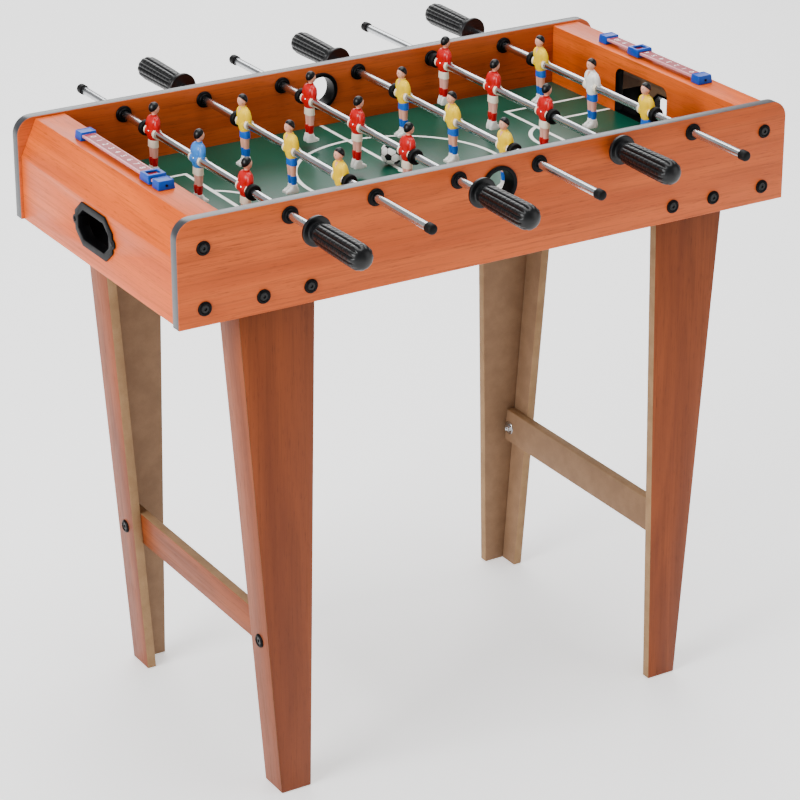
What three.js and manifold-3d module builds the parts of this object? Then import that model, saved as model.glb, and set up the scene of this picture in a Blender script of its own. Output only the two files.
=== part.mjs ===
// A small foosball table: a board body on four L-shaped legs, six sliding and turning rods with
// eighteen figures, a ball on the pitch and a sliding scorer at each end.
// Millimetres. X runs along the pitch, Y across it, Z up from the floor, which the origin is on.
import Module from 'manifold-3d';
import * as THREE from 'three';
import { mergeVertices } from 'three/addons/utils/BufferGeometryUtils.js';

const wasm = await Module();
wasm.setup();

// Body
const TABLE_LENGTH = 690; // side panels, end to end
const BODY_WIDTH = 355; // over the outer faces of the side panels
const RIM_HEIGHT = 629; // floor to the top edge of the side panels
const PANEL_HEIGHT = 105;
const PANEL_THICKNESS = 12;
const PANEL_CORNER = 18; // radius of the two upper corners
const PITCH_DROP = 66; // rim to the playing surface
const PITCH_THICKNESS = 3;
const GAP = 0.3; // left between pieces that touch

// Ends
const GOAL_WALL_SETBACK = 52; // panel end to the goal wall's pitch side
const GOAL_WALL_THICKNESS = 10;
const LEDGE_DROP = 2; // rim to the flat top of the end cover
const LEDGE_WIDTH = 32;
const SLOPE_HEIGHT = 37; // the end cover's slanted part
const COVER_INSET = 3; // panel end to the cover's upright face
const COVER_THICKNESS = 10;
const MOUTH_WIDTH = 91; // goal mouth
const MOUTH_HEAD = 5.2; // board left over the mouth
const MOUTH_CORNER = 9;

// Ball and the ways it goes in and out
const BALL_DIAMETER = 24;
const BALL_REST_Y = 20; // on the halfway line
const ENTRY_DROP = 28; // rim to the middle of the ball entry ring
const ENTRY_CLEARANCE = 7.2; // on the ball's diameter
const ENTRY_WALL = 1.7;
const ENTRY_FLANGE_RIM = 2.7; // how far the flange reaches past the sleeve
const ENTRY_FLANGE_THICKNESS = 2.5;
const POCKET_RISE = 1; // playing surface to the middle of the ball pocket
const POCKET_CLEARANCE = 6; // on the ball's diameter
const POCKET_HALF_FLAT = 22; // half of the eight-sided hole's level edge
const POCKET_HALF_SIDE = 6; // half of its upright edge
const POCKET_HALF_WIDTH = 33;
const POCKET_WALL = 2.5;
const POCKET_RIM = { flat: 3, height: 7.5, side: 4, width: 7.5 }; // how far the flange reaches past the hole
const POCKET_LOBE_RADIUS = 5;
const POCKET_FLANGE_THICKNESS = 2.4;
const TRAY_WALL = 2;
const TRAY_LIP = 4; // how far the tray's floor lies under the pocket's opening
const TRAY_HEADROOM = 2.8; // tray cheeks to the start of the cover's slope, inside

// Rods
const ROD_COUNT = 6;
const END_BAY = 64.75; // goal wall to the outer rods' axes
const ROD_DROP = 14; // rim to the rods' axes
const ROD_DIAMETER = 8;
const ROD_FREE_END = 82; // bare end outside the panel with the rod centred
// Where each rod stands along Y, as a share of its travel
const ROD_REST = [0.084, -0.379, 0.253, -0.484, 0.947, -0.084];
const BEARING_FLANGE_DIAMETER = 17.5;
const BEARING_FLANGE_THICKNESS = 3.5;
const BEARING_CLEARANCE = 0.7; // on the radius of a faceted bore
const BUMPER_DIAMETER = 16;
const BUMPER_LENGTH = 7;
const BUMPER_GAP = 0.5; // outer figure's hub to the bumper

// Handles and end caps
const HANDLE_LENGTH = 89;
const HANDLE_FLANGE_DIAMETER = 30;
const HANDLE_FLANGE_THICKNESS = 4;
const HANDLE_NECK_DIAMETER = 18;
const HANDLE_NECK_LENGTH = 4;
const HANDLE_SHOULDER_DIAMETER = 21; // where the flutes start
const HANDLE_GRIP_DIAMETER = 25;
const HANDLE_SOCKET = 60; // depth of the hole that the rod sits in
const FLUTE_COUNT = 12;
const FLUTE_RADIUS = 1.3;
const HANDLE_CLEARANCE = 0.7; // handle flange to the bearing with the bumper at its stop
const CAP_LENGTH = 10;
const CAP_WALL = 0.9;
const CAP_ROUNDING = 2;
const CAP_TIP = 3; // the cap's end past the rod

// Figures, measured from the rod's axis
const FIGURES_PER_ROD = 3;
const FIGURE_SPACING = 96;
const HUB_HALF_LENGTH = 11;
const HUB_WALL = 1.5;
const SHOULDER_HALF_WIDTH = 10.5;
const TORSO_FLATNESS = 0.52; // depth over width
const HEAD_TOP = 30.5;
const HEAD_HALF_WIDTH = 5;
const HEAD_HALF_HEIGHT = 6.6;
const HEAD_LEAD = 2.5; // how far the head leans forward
const LEG_HALF_WIDTH = { hip: 6.4, ankle: 4.8 };
const SOLE_CLEARANCE = 7.5; // boot to the playing surface
const BOOT_HEIGHT = 10;
const BOOT_HALF_WIDTH = 5.5;
const BOOT_TOE = 8;
const BOOT_HEEL = 6;

// Legs and braces
const LEG_BOARD = 10;
const LEG_TOP = { setback: 13, width: 84.5, depth: 41 }; // setback from the goal wall's pitch side
const LEG_FOOT = { setback: 53, width: 33, depth: 34 };
const BRACE_HEIGHT = 36;
const BRACE_THICKNESS = 10;
const BRACE_CENTRE = 168.5; // above the floor

// Scorers
const SCORER_LENGTH = 180;
const SCORER_BLOCK = { length: 14, width: 17.5, height: 9 };
const SCORER_RAIL = { width: 14, thickness: 3, rise: 4 }; // rise of its underside over the ledge
const SLIDER = { length: 20, wall: 2.2 };
const SLIDER_CLEARANCE = 0.4;
const SLIDER_REST = { left: -0.94, right: 0.394 }; // as a share of its travel

const FINE = 24; // sides of a large round
const ROUND = 16; // sides of a rod and what turns round it
const COARSE = 12; // sides of a small round

// Places worked out from the sizes above
const endX = TABLE_LENGTH / 2;
const panelOuterY = BODY_WIDTH / 2;
const panelInnerY = panelOuterY - PANEL_THICKNESS;
const panelBottom = RIM_HEIGHT - PANEL_HEIGHT;
const pitchTop = RIM_HEIGHT - PITCH_DROP;
const pitchUnderside = pitchTop - PITCH_THICKNESS;
const goalWallX = endX - GOAL_WALL_SETBACK;
const goalWallBackX = goalWallX + GOAL_WALL_THICKNESS;
const ledgeTop = RIM_HEIGHT - LEDGE_DROP;
const coverX = endX - COVER_INSET;
const coverInnerX = coverX - COVER_THICKNESS;
const insideHalfWidth = panelInnerY - GAP;
const pocketZ = pitchTop + POCKET_RISE;
const pocketHole = {
  flat: POCKET_HALF_FLAT,
  side: POCKET_HALF_SIDE,
  height: (BALL_DIAMETER + POCKET_CLEARANCE) / 2,
  width: POCKET_HALF_WIDTH,
};
const entryZ = RIM_HEIGHT - ENTRY_DROP;
const rodZ = RIM_HEIGHT - ROD_DROP;
const rodPitch = (2 * goalWallX - 2 * END_BAY) / (ROD_COUNT - 1);
const rodX = (index) => (index - (ROD_COUNT - 1) / 2) * rodPitch;
const rodRadius = ROD_DIAMETER / 2;
const bumperStart = ((FIGURES_PER_ROD - 1) / 2) * FIGURE_SPACING + HUB_HALF_LENGTH + BUMPER_GAP;
const bumperEnd = bumperStart + BUMPER_LENGTH;
const rodTravel = panelInnerY - BEARING_FLANGE_THICKNESS - bumperEnd;
const handleStart = panelOuterY + BEARING_FLANGE_THICKNESS + rodTravel + HANDLE_CLEARANCE;
const rodFreeEnd = panelOuterY + ROD_FREE_END;
const legTop = pitchUnderside - GAP;
const entryRadius = (BALL_DIAMETER + ENTRY_CLEARANCE) / 2;
const entrySleeve = entryRadius + ENTRY_WALL;
const soleDepth = rodZ - pitchTop - SOLE_CLEARANCE;
const sliderTravel = SCORER_LENGTH / 2 - SCORER_BLOCK.length - SLIDER.length / 2;

const group = new THREE.Group();

const materials = {
  wood: { color: 0xb8703f, roughness: 0.45, metalness: 0 },
  darkWood: { color: 0x8a4f2c, roughness: 0.5, metalness: 0 },
  pitch: { color: 0x1f5a3c, roughness: 0.35, metalness: 0 },
  black: { color: 0x151617, roughness: 0.4, metalness: 0 },
  chrome: { color: 0xd8dadc, roughness: 0.15, metalness: 1 },
  rubber: { color: 0x1a1a1a, roughness: 0.7, metalness: 0 },
  redShirt: { color: 0xd0202a, roughness: 0.4, metalness: 0 },
  yellowShirt: { color: 0xf2dc35, roughness: 0.4, metalness: 0 },
  blueShirt: { color: 0x8fc3ee, roughness: 0.4, metalness: 0 },
  whiteShirt: { color: 0xeeeeea, roughness: 0.4, metalness: 0 },
  blue: { color: 0x2a62c8, roughness: 0.35, metalness: 0 },
  rail: { color: 0xd8b0b8, roughness: 0.2, metalness: 0 },
  ball: { color: 0xf2f2f0, roughness: 0.35, metalness: 0 },
};

/** A closed solid from a geometry whose shared corners are merged and whose empty faces are left out. */
function solid(geometry) {
  const plain = geometry.clone();
  plain.deleteAttribute('normal');
  plain.deleteAttribute('uv');
  const merged = mergeVertices(plain, 1e-4);
  const corners = merged.index.array;
  const kept = [];
  for (let i = 0; i < corners.length; i += 3) {
    const [a, b, c] = [corners[i], corners[i + 1], corners[i + 2]];
    if (a !== b && b !== c && c !== a) kept.push(a, b, c);
  }
  return new wasm.Manifold(new wasm.Mesh({
    numProp: 3,
    vertProperties: new Float32Array(merged.attributes.position.array),
    triVerts: new Uint32Array(kept),
  }));
}

function geometryOf(shape) {
  const mesh = shape.getMesh();
  const geometry = new THREE.BufferGeometry();
  geometry.setAttribute('position', new THREE.BufferAttribute(mesh.vertProperties.slice(), 3));
  geometry.setIndex(new THREE.BufferAttribute(mesh.triVerts.slice(), 1));
  geometry.computeVertexNormals();
  return geometry;
}

/** Joins several geometries into one solid. */
const joined = (...geometries) => geometries.map(solid).reduce((whole, piece) => whole.add(piece));

function addPiece(name, shape, look, position = [0, 0, 0], turn = 0) {
  const mesh = new THREE.Mesh(geometryOf(shape), new THREE.MeshStandardMaterial(materials[look]));
  mesh.name = name;
  mesh.position.set(...position);
  mesh.rotation.z = turn;
  group.add(mesh);
}

const boxBetween = ([x0, y0, z0], [x1, y1, z1]) =>
  new THREE.BoxGeometry(x1 - x0, y1 - y0, z1 - z0)
    .translate((x0 + x1) / 2, (y0 + y1) / 2, (z0 + z1) / 2);

/** An outline in X and Z, made solid from y0 to y1. */
function plateAlongY(outline, y0, y1, curveSegments = 5) {
  return new THREE.ExtrudeGeometry(outline, { depth: y1 - y0, bevelEnabled: false, curveSegments })
    .rotateX(Math.PI / 2)
    .translate(0, y1, 0);
}

/** An outline in Y and Z, made solid from x0 to x1. */
function plateAlongX(outline, x0, x1) {
  return new THREE.ExtrudeGeometry(outline, { depth: x1 - x0, bevelEnabled: false, curveSegments: 5 })
    .rotateZ(Math.PI / 2)
    .rotateY(Math.PI / 2)
    .translate(x0, 0, 0);
}

/** A profile of [radius, y] pairs, going up, turned about the Y axis. */
const turned = (profile, sides) =>
  new THREE.LatheGeometry(profile.map(([r, y]) => new THREE.Vector2(r, y)), sides);

const polygon = (points) => new THREE.Shape(points.map(([x, y]) => new THREE.Vector2(x, y)));

const discAlongY = (radius, y0, y1, sides) =>
  new THREE.CylinderGeometry(radius, radius, y1 - y0, sides).translate(0, (y0 + y1) / 2, 0);

/** A board outline with its two upper corners rounded. */
function roundTopped(halfWidth, bottom, top, radius) {
  return new THREE.Shape()
    .moveTo(-halfWidth, bottom)
    .lineTo(halfWidth, bottom)
    .lineTo(halfWidth, top - radius)
    .absarc(halfWidth - radius, top - radius, radius, 0, Math.PI / 2)
    .lineTo(-halfWidth + radius, top)
    .absarc(-halfWidth + radius, top - radius, radius, Math.PI / 2, Math.PI);
}

/** Two board lines that meet at a corner, both moved inward by a distance: where they meet then. */
function mitre(before, corner, after, distance) {
  const into = corner.clone().sub(before).normalize();
  const out = after.clone().sub(corner).normalize();
  const normal = new THREE.Vector2(into.y, -into.x).add(new THREE.Vector2(out.y, -out.x));
  return corner.clone().addScaledVector(normal.normalize(), distance / Math.cos(into.angleTo(out) / 2));
}

/** A side panel with its six bearings, the flange of each standing proud on both faces. */
function sidePanel() {
  const outline = roundTopped(endX, panelBottom, RIM_HEIGHT, PANEL_CORNER);
  let panel = solid(plateAlongY(outline, -PANEL_THICKNESS / 2, PANEL_THICKNESS / 2));
  const reach = PANEL_THICKNESS / 2 + BEARING_FLANGE_THICKNESS;
  for (let i = 0; i < ROD_COUNT; i += 1) {
    const bearing = discAlongY(BEARING_FLANGE_DIAMETER / 2, -reach, reach, ROUND);
    panel = panel.add(solid(bearing.translate(rodX(i), 0, rodZ)));
  }
  for (let i = 0; i < ROD_COUNT; i += 1) {
    const bore = discAlongY(rodRadius + BEARING_CLEARANCE, -reach - 1, reach + 1, ROUND);
    panel = panel.subtract(solid(bore.translate(rodX(i), 0, rodZ)));
  }
  const entry = discAlongY(entrySleeve + GAP, -reach, reach, FINE);
  return panel.subtract(solid(entry.translate(0, 0, entryZ)));
}

function entryRing() {
  const face = PANEL_THICKNESS / 2 + GAP;
  const edge = face + ENTRY_FLANGE_THICKNESS;
  const flange = entrySleeve + ENTRY_FLANGE_RIM;
  return solid(turned([
    [entryRadius, edge], [entryRadius, -edge], [flange, -edge], [flange, -face],
    [entrySleeve, -face], [entrySleeve, face], [flange, face], [flange, edge], [entryRadius, edge],
  ], FINE));
}

// The end cover's cross-section: ledge, slope and upright face, outside and then inside
const coverOuter = [
  [goalWallX, ledgeTop], [goalWallX + LEDGE_WIDTH, ledgeTop],
  [coverX, ledgeTop - SLOPE_HEIGHT], [coverX, panelBottom],
].map(([x, z]) => new THREE.Vector2(x, z));
const coverInner = [
  new THREE.Vector2(coverInnerX, panelBottom),
  mitre(coverOuter[1], coverOuter[2], coverOuter[3], COVER_THICKNESS),
  mitre(coverOuter[0], coverOuter[1], coverOuter[2], COVER_THICKNESS),
  new THREE.Vector2(goalWallX, ledgeTop - COVER_THICKNESS),
];

/** An eight-sided outline with level, upright and slanting edges. */
const eightSided = (flat, height, side, width) => polygon([
  [flat, height], [-flat, height], [-width, side], [-width, -side],
  [-flat, -height], [flat, -height], [width, -side], [width, side],
]);

/** The pocket's outline, made larger all round by a wall. */
function pocketOutline(wall = 0) {
  const { flat, height, side, width } = pocketHole;
  return eightSided(flat + wall / 2, height + wall, side + wall / 2, width + wall);
}

function endCover() {
  const hole = plateAlongX(pocketOutline(POCKET_WALL + GAP), coverInnerX - 1, coverX + 1);
  const section = new THREE.Shape([...coverOuter, ...coverInner]);
  return solid(plateAlongY(section, -insideHalfWidth, insideHalfWidth))
    .subtract(solid(hole.translate(0, 0, pocketZ)));
}

function goalWall() {
  const wallTop = ledgeTop - COVER_THICKNESS - GAP;
  const wall = boxBetween([goalWallX, -insideHalfWidth, panelBottom],
    [goalWallBackX, insideHalfWidth, wallTop]);
  const mouth = roundTopped(MOUTH_WIDTH / 2, pitchTop, wallTop - MOUTH_HEAD, MOUTH_CORNER);
  return solid(wall).subtract(solid(plateAlongX(mouth, goalWallX - 1, goalWallBackX + 1)));
}

function ballPocket() {
  const face = coverX + GAP;
  const edge = face + POCKET_FLANGE_THICKNESS;
  const lobe = () => new THREE.CylinderGeometry(POCKET_LOBE_RADIUS, POCKET_LOBE_RADIUS,
    POCKET_FLANGE_THICKNESS, COARSE).rotateZ(Math.PI / 2).translate((face + edge) / 2, 0, 0);
  const flangeSide = pocketHole.width + POCKET_RIM.width;
  const flange = eightSided(pocketHole.flat + POCKET_RIM.flat, pocketHole.height + POCKET_RIM.height,
    pocketHole.side + POCKET_RIM.side, flangeSide);
  return joined(
    plateAlongX(flange, face, edge),
    lobe().translate(0, flangeSide, 0),
    lobe().translate(0, -flangeSide, 0),
    plateAlongX(pocketOutline(POCKET_WALL), coverInnerX, edge),
  ).subtract(solid(plateAlongX(pocketOutline(), coverInnerX - 1, edge + 1)));
}

/** The trough under the goal: a floor with a cheek on each side, open to the mouth and the pocket. */
function ballTray() {
  const half = MOUTH_WIDTH / 2;
  const floor = pocketZ - pocketHole.height - TRAY_LIP;
  const cheekTop = coverInner[1].y - TRAY_HEADROOM;
  const outline = polygon([
    [-half - TRAY_WALL, floor - TRAY_WALL], [half + TRAY_WALL, floor - TRAY_WALL],
    [half + TRAY_WALL, cheekTop], [half, cheekTop], [half, floor],
    [-half, floor], [-half, cheekTop], [-half - TRAY_WALL, cheekTop],
  ]);
  return solid(plateAlongX(outline, goalWallBackX + GAP, coverInnerX - GAP));
}

/** A rod along Y, handle end first, with a bumper outside each outer figure. */
function rod() {
  const bumper = BUMPER_DIAMETER / 2;
  return solid(turned([
    [0, -handleStart - HANDLE_SOCKET + GAP], [rodRadius, -handleStart - HANDLE_SOCKET + GAP],
    [rodRadius, -bumperEnd], [bumper, -bumperEnd], [bumper, -bumperStart], [rodRadius, -bumperStart],
    [rodRadius, bumperStart], [bumper, bumperStart], [bumper, bumperEnd], [rodRadius, bumperEnd],
    [rodRadius, rodFreeEnd], [0, rodFreeEnd],
  ], ROUND));
}

/** A grip with a round flange, a short neck, a fluted body that swells and a domed end. */
function handle() {
  const neck = HANDLE_NECK_DIAMETER / 2;
  const grip = HANDLE_GRIP_DIAMETER / 2;
  const flange = HANDLE_FLANGE_DIAMETER / 2;
  const socket = rodRadius + GAP;
  const tip = -handleStart - HANDLE_LENGTH;
  const flangeBack = -handleStart - HANDLE_FLANGE_THICKNESS;
  const neckEnd = flangeBack - HANDLE_NECK_LENGTH;
  const shoulder = HANDLE_SHOULDER_DIAMETER / 2;
  const widest = new THREE.Vector3(grip, tip + grip * 1.1, 0);
  const narrowest = new THREE.Vector3(shoulder, neckEnd - 2 * (shoulder - neck), 0);
  let shape = solid(turned([
    [0, tip], [grip * 0.6, tip + grip * 0.2], [grip * 0.9, tip + grip * 0.6], [widest.x, widest.y],
    [narrowest.x, narrowest.y], [neck, neckEnd], [neck, flangeBack], [flange, flangeBack],
    [flange, -handleStart], [socket, -handleStart], [socket, -handleStart - HANDLE_SOCKET],
    [0, -handleStart - HANDLE_SOCKET],
  ], FINE));
  const run = narrowest.clone().sub(widest);
  const flute = new THREE.CylinderGeometry(FLUTE_RADIUS, FLUTE_RADIUS, run.length(), 6)
    .rotateZ(-Math.atan2(run.x, run.y))
    .translate(...widest.clone().add(narrowest).divideScalar(2).toArray());
  for (let i = 0; i < FLUTE_COUNT; i += 1) {
    shape = shape.subtract(solid(flute.clone().rotateY((i / FLUTE_COUNT) * 2 * Math.PI)));
  }
  return shape;
}

function endCap() {
  const outer = rodRadius + GAP + CAP_WALL;
  const end = rodFreeEnd + CAP_TIP;
  return solid(turned([
    [0, rodFreeEnd + GAP], [rodRadius + GAP, rodFreeEnd + GAP], [rodRadius + GAP, end - CAP_LENGTH],
    [outer, end - CAP_LENGTH], [outer, end - CAP_ROUNDING], [outer - CAP_ROUNDING, end], [0, end],
  ], ROUND));
}

/** A figure that faces +X, with its hub on the rod's axis at the origin. */
function figure() {
  const upright = Math.PI / 2;
  const torso = turned([
    [0, -8], [7.4, -8], [SHOULDER_HALF_WIDTH, 8], [SHOULDER_HALF_WIDTH - 1, 13],
    [3.2, 16.5], [3, 20], [0, 20],
  ], 8).rotateX(upright).scale(TORSO_FLATNESS, 1, 1).translate(HEAD_LEAD / 3, 0, 0);
  const head = new THREE.SphereGeometry(1, 8, 6).rotateX(upright)
    .scale(HEAD_HALF_WIDTH, HEAD_HALF_WIDTH, HEAD_HALF_HEIGHT)
    .translate(HEAD_LEAD, 0, HEAD_TOP - HEAD_HALF_HEIGHT);
  const bootTop = -soleDepth + BOOT_HEIGHT;
  const legs = new THREE.CylinderGeometry(LEG_HALF_WIDTH.hip, LEG_HALF_WIDTH.ankle, -4 - bootTop + 2, 8)
    .rotateX(upright).scale(0.8, 1, 1).translate(0, 0, (-4 + bootTop - 2) / 2);
  const boot = plateAlongY(polygon([
    [-BOOT_HEEL + 1, -soleDepth], [BOOT_TOE, -soleDepth], [BOOT_TOE + 1, -soleDepth + 3],
    [BOOT_TOE - 2, bootTop + 2], [3, bootTop], [-BOOT_HEEL + 1, bootTop], [-BOOT_HEEL, -soleDepth + 3],
  ]), -BOOT_HALF_WIDTH, BOOT_HALF_WIDTH);
  const hub = discAlongY(rodRadius + GAP + HUB_WALL, -HUB_HALF_LENGTH, HUB_HALF_LENGTH, COARSE);
  const bore = discAlongY(rodRadius + GAP, -HUB_HALF_LENGTH - 1, HUB_HALF_LENGTH + 1, COARSE);
  return joined(torso, head, legs, boot, hub).subtract(solid(bore));
}

/** A leg's two boards for the near left corner, its outer corner edge leaning in towards the foot. */
function leg() {
  const topX = -goalWallX + LEG_TOP.setback;
  const footX = -goalWallX + LEG_FOOT.setback;
  const wide = plateAlongY(polygon([
    [footX, 0], [footX + LEG_FOOT.width, 0], [topX + LEG_TOP.width, legTop], [topX, legTop],
  ]), -insideHalfWidth, -insideHalfWidth + LEG_BOARD);
  const narrow = plateAlongX(polygon([
    [-insideHalfWidth, 0], [-insideHalfWidth + LEG_FOOT.depth, 0],
    [-insideHalfWidth + LEG_TOP.depth, legTop], [-insideHalfWidth, legTop],
  ]), footX, footX + LEG_BOARD);
  return joined(wide, narrow.applyMatrix4(leaning(-1)));
}

/** The lean of the legs' outer faces, sideways for each millimetre up, at the left (-1) or right (1). */
function leaning(end) {
  const slope = (LEG_FOOT.setback - LEG_TOP.setback) / legTop;
  return new THREE.Matrix4().makeShear(0, 0, 0, 0, end * slope, 0);
}

function brace(end) {
  const faceX = goalWallX - LEG_FOOT.setback - LEG_BOARD - GAP;
  const half = insideHalfWidth - LEG_BOARD - GAP;
  const xs = [end * faceX, end * (faceX - BRACE_THICKNESS)].sort((a, b) => a - b);
  return solid(boxBetween([xs[0], -half, BRACE_CENTRE - BRACE_HEIGHT / 2],
    [xs[1], half, BRACE_CENTRE + BRACE_HEIGHT / 2]).applyMatrix4(leaning(end)));
}

/** A flat rail held off the ledge by a block at each end. */
function scorerRail() {
  const half = SCORER_LENGTH / 2;
  const { length, width, height } = SCORER_BLOCK;
  const block = (y) => boxBetween([-width / 2, y, GAP], [width / 2, y + length, height + GAP]);
  const rail = boxBetween([-SCORER_RAIL.width / 2, -half + 1, SCORER_RAIL.rise],
    [SCORER_RAIL.width / 2, half - 1, SCORER_RAIL.rise + SCORER_RAIL.thickness]);
  return joined(block(-half), block(half - length), rail);
}

/** A window clip that wraps round the rail. */
function scorerSlider() {
  const { width, thickness, rise } = SCORER_RAIL;
  const halfBore = width / 2 + SLIDER_CLEARANCE;
  const low = rise - SLIDER_CLEARANCE;
  const high = rise + thickness + SLIDER_CLEARANCE;
  const half = SLIDER.length / 2;
  const body = boxBetween([-halfBore - SLIDER.wall, -half, low - SLIDER.wall],
    [halfBore + SLIDER.wall, half, high + SLIDER.wall]);
  const bore = boxBetween([-halfBore, -half - 1, low], [halfBore, half + 1, high]);
  const window = boxBetween([-halfBore + 1, -half / 2, high - 1],
    [halfBore - 1, half / 2, high + SLIDER.wall + 1]);
  return solid(body).subtract(solid(bore)).subtract(solid(window));
}

// Body boards
const mirrorX = (shape) => shape.mirror([1, 0, 0]);
const mirrorY = (shape) => shape.mirror([0, 1, 0]);
addPiece('near_side_panel', sidePanel(), 'wood', [0, -panelOuterY + PANEL_THICKNESS / 2, 0]);
addPiece('far_side_panel', sidePanel(), 'wood', [0, panelOuterY - PANEL_THICKNESS / 2, 0]);
addPiece('left_end_cover', mirrorX(endCover()), 'wood');
addPiece('right_end_cover', endCover(), 'wood');
addPiece('left_goal_wall', mirrorX(goalWall()), 'wood');
addPiece('right_goal_wall', goalWall(), 'wood');
addPiece('playfield', solid(boxBetween([-goalWallX + GAP, -insideHalfWidth, pitchUnderside],
  [goalWallX - GAP, insideHalfWidth, pitchTop])), 'pitch');

// Legs and braces
addPiece('near_left_leg', leg(), 'darkWood');
addPiece('near_right_leg', mirrorX(leg()), 'darkWood');
addPiece('far_left_leg', mirrorY(leg()), 'darkWood');
addPiece('far_right_leg', mirrorX(mirrorY(leg())), 'darkWood');
addPiece('left_brace', brace(-1), 'darkWood');
addPiece('right_brace', brace(1), 'darkWood');

// Where the ball goes in and out
addPiece('near_entry_ring', entryRing(), 'black', [0, -panelOuterY + PANEL_THICKNESS / 2, entryZ]);
addPiece('far_entry_ring', entryRing(), 'black', [0, panelOuterY - PANEL_THICKNESS / 2, entryZ]);
for (const [side, place] of [['left', mirrorX], ['right', (shape) => shape]]) {
  addPiece(`${side}_ball_pocket`, place(ballPocket().translate([0, 0, pocketZ])), 'black');
  addPiece(`${side}_ball_tray`, place(ballTray()), 'black');
}

// Scorers
const ledgeMiddle = goalWallX + LEDGE_WIDTH / 2;
for (const [side, x] of [['left', -ledgeMiddle], ['right', ledgeMiddle]]) {
  addPiece(`${side}_scorer_rail`, scorerRail(), 'rail', [x, 0, ledgeTop]);
  addPiece(`${side}_scorer_slider`, scorerSlider(), 'blue', [x, SLIDER_REST[side] * sliderTravel, ledgeTop]);
}

// Ball
const ball = solid(new THREE.SphereGeometry(BALL_DIAMETER / 2, COARSE, 8).rotateX(Math.PI / 2));
addPiece('football', ball, 'ball', [0, BALL_REST_Y, pitchTop + GAP + BALL_DIAMETER / 2]);

// Rods: odd ones face +X with their handles near, even ones are turned the other way round
const figureNames = ['far', 'middle', 'near'];
for (let i = 0; i < ROD_COUNT; i += 1) {
  const number = i + 1;
  const turn = i % 2 === 0 ? 0 : Math.PI;
  const shift = ROD_REST[i] * rodTravel;
  const place = [rodX(i), shift, rodZ];
  addPiece(`rod_${number}`, rod(), 'chrome', place, turn);
  addPiece(`rod_${number}_handle`, handle(), 'black', place, turn);
  addPiece(`rod_${number}_end_cap`, endCap(), 'rubber', place, turn);
  figureNames.forEach((name, order) => {
    const keeper = name === 'middle' && (i === 0 || i === ROD_COUNT - 1);
    const teamLook = i % 2 === 0 ? 'redShirt' : 'yellowShirt';
    const keeperLook = i === 0 ? 'blueShirt' : 'whiteShirt';
    const y = shift + (1 - order) * FIGURE_SPACING;
    addPiece(`rod_${number}_${name}_${keeper ? 'keeper' : 'player'}`, figure(),
      keeper ? keeperLook : teamLook, [rodX(i), y, rodZ], turn);
  });
}

export default group;
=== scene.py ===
"""The looks of a small foosball table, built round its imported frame. Lengths are millimetres."""

from math import cos, pi, radians

import bmesh
import bpy
from mathutils import Euler, Matrix, Vector


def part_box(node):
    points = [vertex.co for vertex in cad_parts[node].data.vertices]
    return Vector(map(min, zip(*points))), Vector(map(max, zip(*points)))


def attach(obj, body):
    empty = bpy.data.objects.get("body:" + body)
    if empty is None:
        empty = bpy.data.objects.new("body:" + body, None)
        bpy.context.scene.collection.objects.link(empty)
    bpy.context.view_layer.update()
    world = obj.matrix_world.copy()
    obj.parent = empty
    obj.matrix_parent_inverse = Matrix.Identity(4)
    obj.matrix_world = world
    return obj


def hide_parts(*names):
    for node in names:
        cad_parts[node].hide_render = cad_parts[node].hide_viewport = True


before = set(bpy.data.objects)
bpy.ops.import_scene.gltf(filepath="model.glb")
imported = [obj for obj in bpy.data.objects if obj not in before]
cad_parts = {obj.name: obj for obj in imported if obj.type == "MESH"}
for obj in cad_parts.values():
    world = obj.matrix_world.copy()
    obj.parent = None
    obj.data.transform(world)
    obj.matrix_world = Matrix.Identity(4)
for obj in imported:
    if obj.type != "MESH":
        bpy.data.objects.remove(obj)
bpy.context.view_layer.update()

MM = 0.001
ROD_RADIUS = 4.0
RODS = range(1, 7)
KEEPER_RODS = 1, 6
TEAM_TURN = (0, pi, 0, pi, 0, pi)  # rods with their handles near face +X, the others are turned


def span(node):
    """The lowest and highest corner of a CAD node, in millimetres."""
    low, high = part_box(node)
    return low / MM, high / MM


def middle(node):
    low, high = span(node)
    return (low + high) / 2


# ---------------------------------------------------------------- finishes


def srgb(red, green, blue):
    """A screen colour, 0 to 255 a channel, as the linear colour that a shader takes."""
    channels = (c / 255 for c in (red, green, blue))
    return tuple(c / 12.92 if c < 0.04045 else ((c + 0.055) / 1.055) ** 2.4 for c in channels) + (1,)


class Value:
    """An output of a shader node that takes part in sums like a number."""

    def __init__(self, finish, socket):
        self.finish, self.socket = finish, socket

    def math(self, operation, *terms):
        return self.finish.node("ShaderNodeMath", {"operation": operation}, dict(enumerate(terms)))

    def __add__(self, other):
        return self.math("ADD", self, other)

    def __sub__(self, other):
        return self.math("SUBTRACT", self, other)

    def __rsub__(self, other):
        return self.math("SUBTRACT", other, self)

    def __mul__(self, other):
        return self.math("MULTIPLY", self, other)

    def __pow__(self, other):
        return self.math("POWER", self, other)

    def __abs__(self):
        return self.math("ABSOLUTE", self)

    __radd__ = __add__
    __rmul__ = __mul__

    def under(self, edge, soft):
        """1 where this is below edge and 0 above it, with a soft step between."""
        settings = {"interpolation_type": "SMOOTHSTEP"}
        ends = {0: self, 1: edge - soft, 2: edge + soft, 3: 1.0, 4: 0.0}
        return self.finish.node("ShaderNodeMapRange", settings, ends)

    def most(self, other):
        return self.math("MAXIMUM", self, other)


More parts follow.
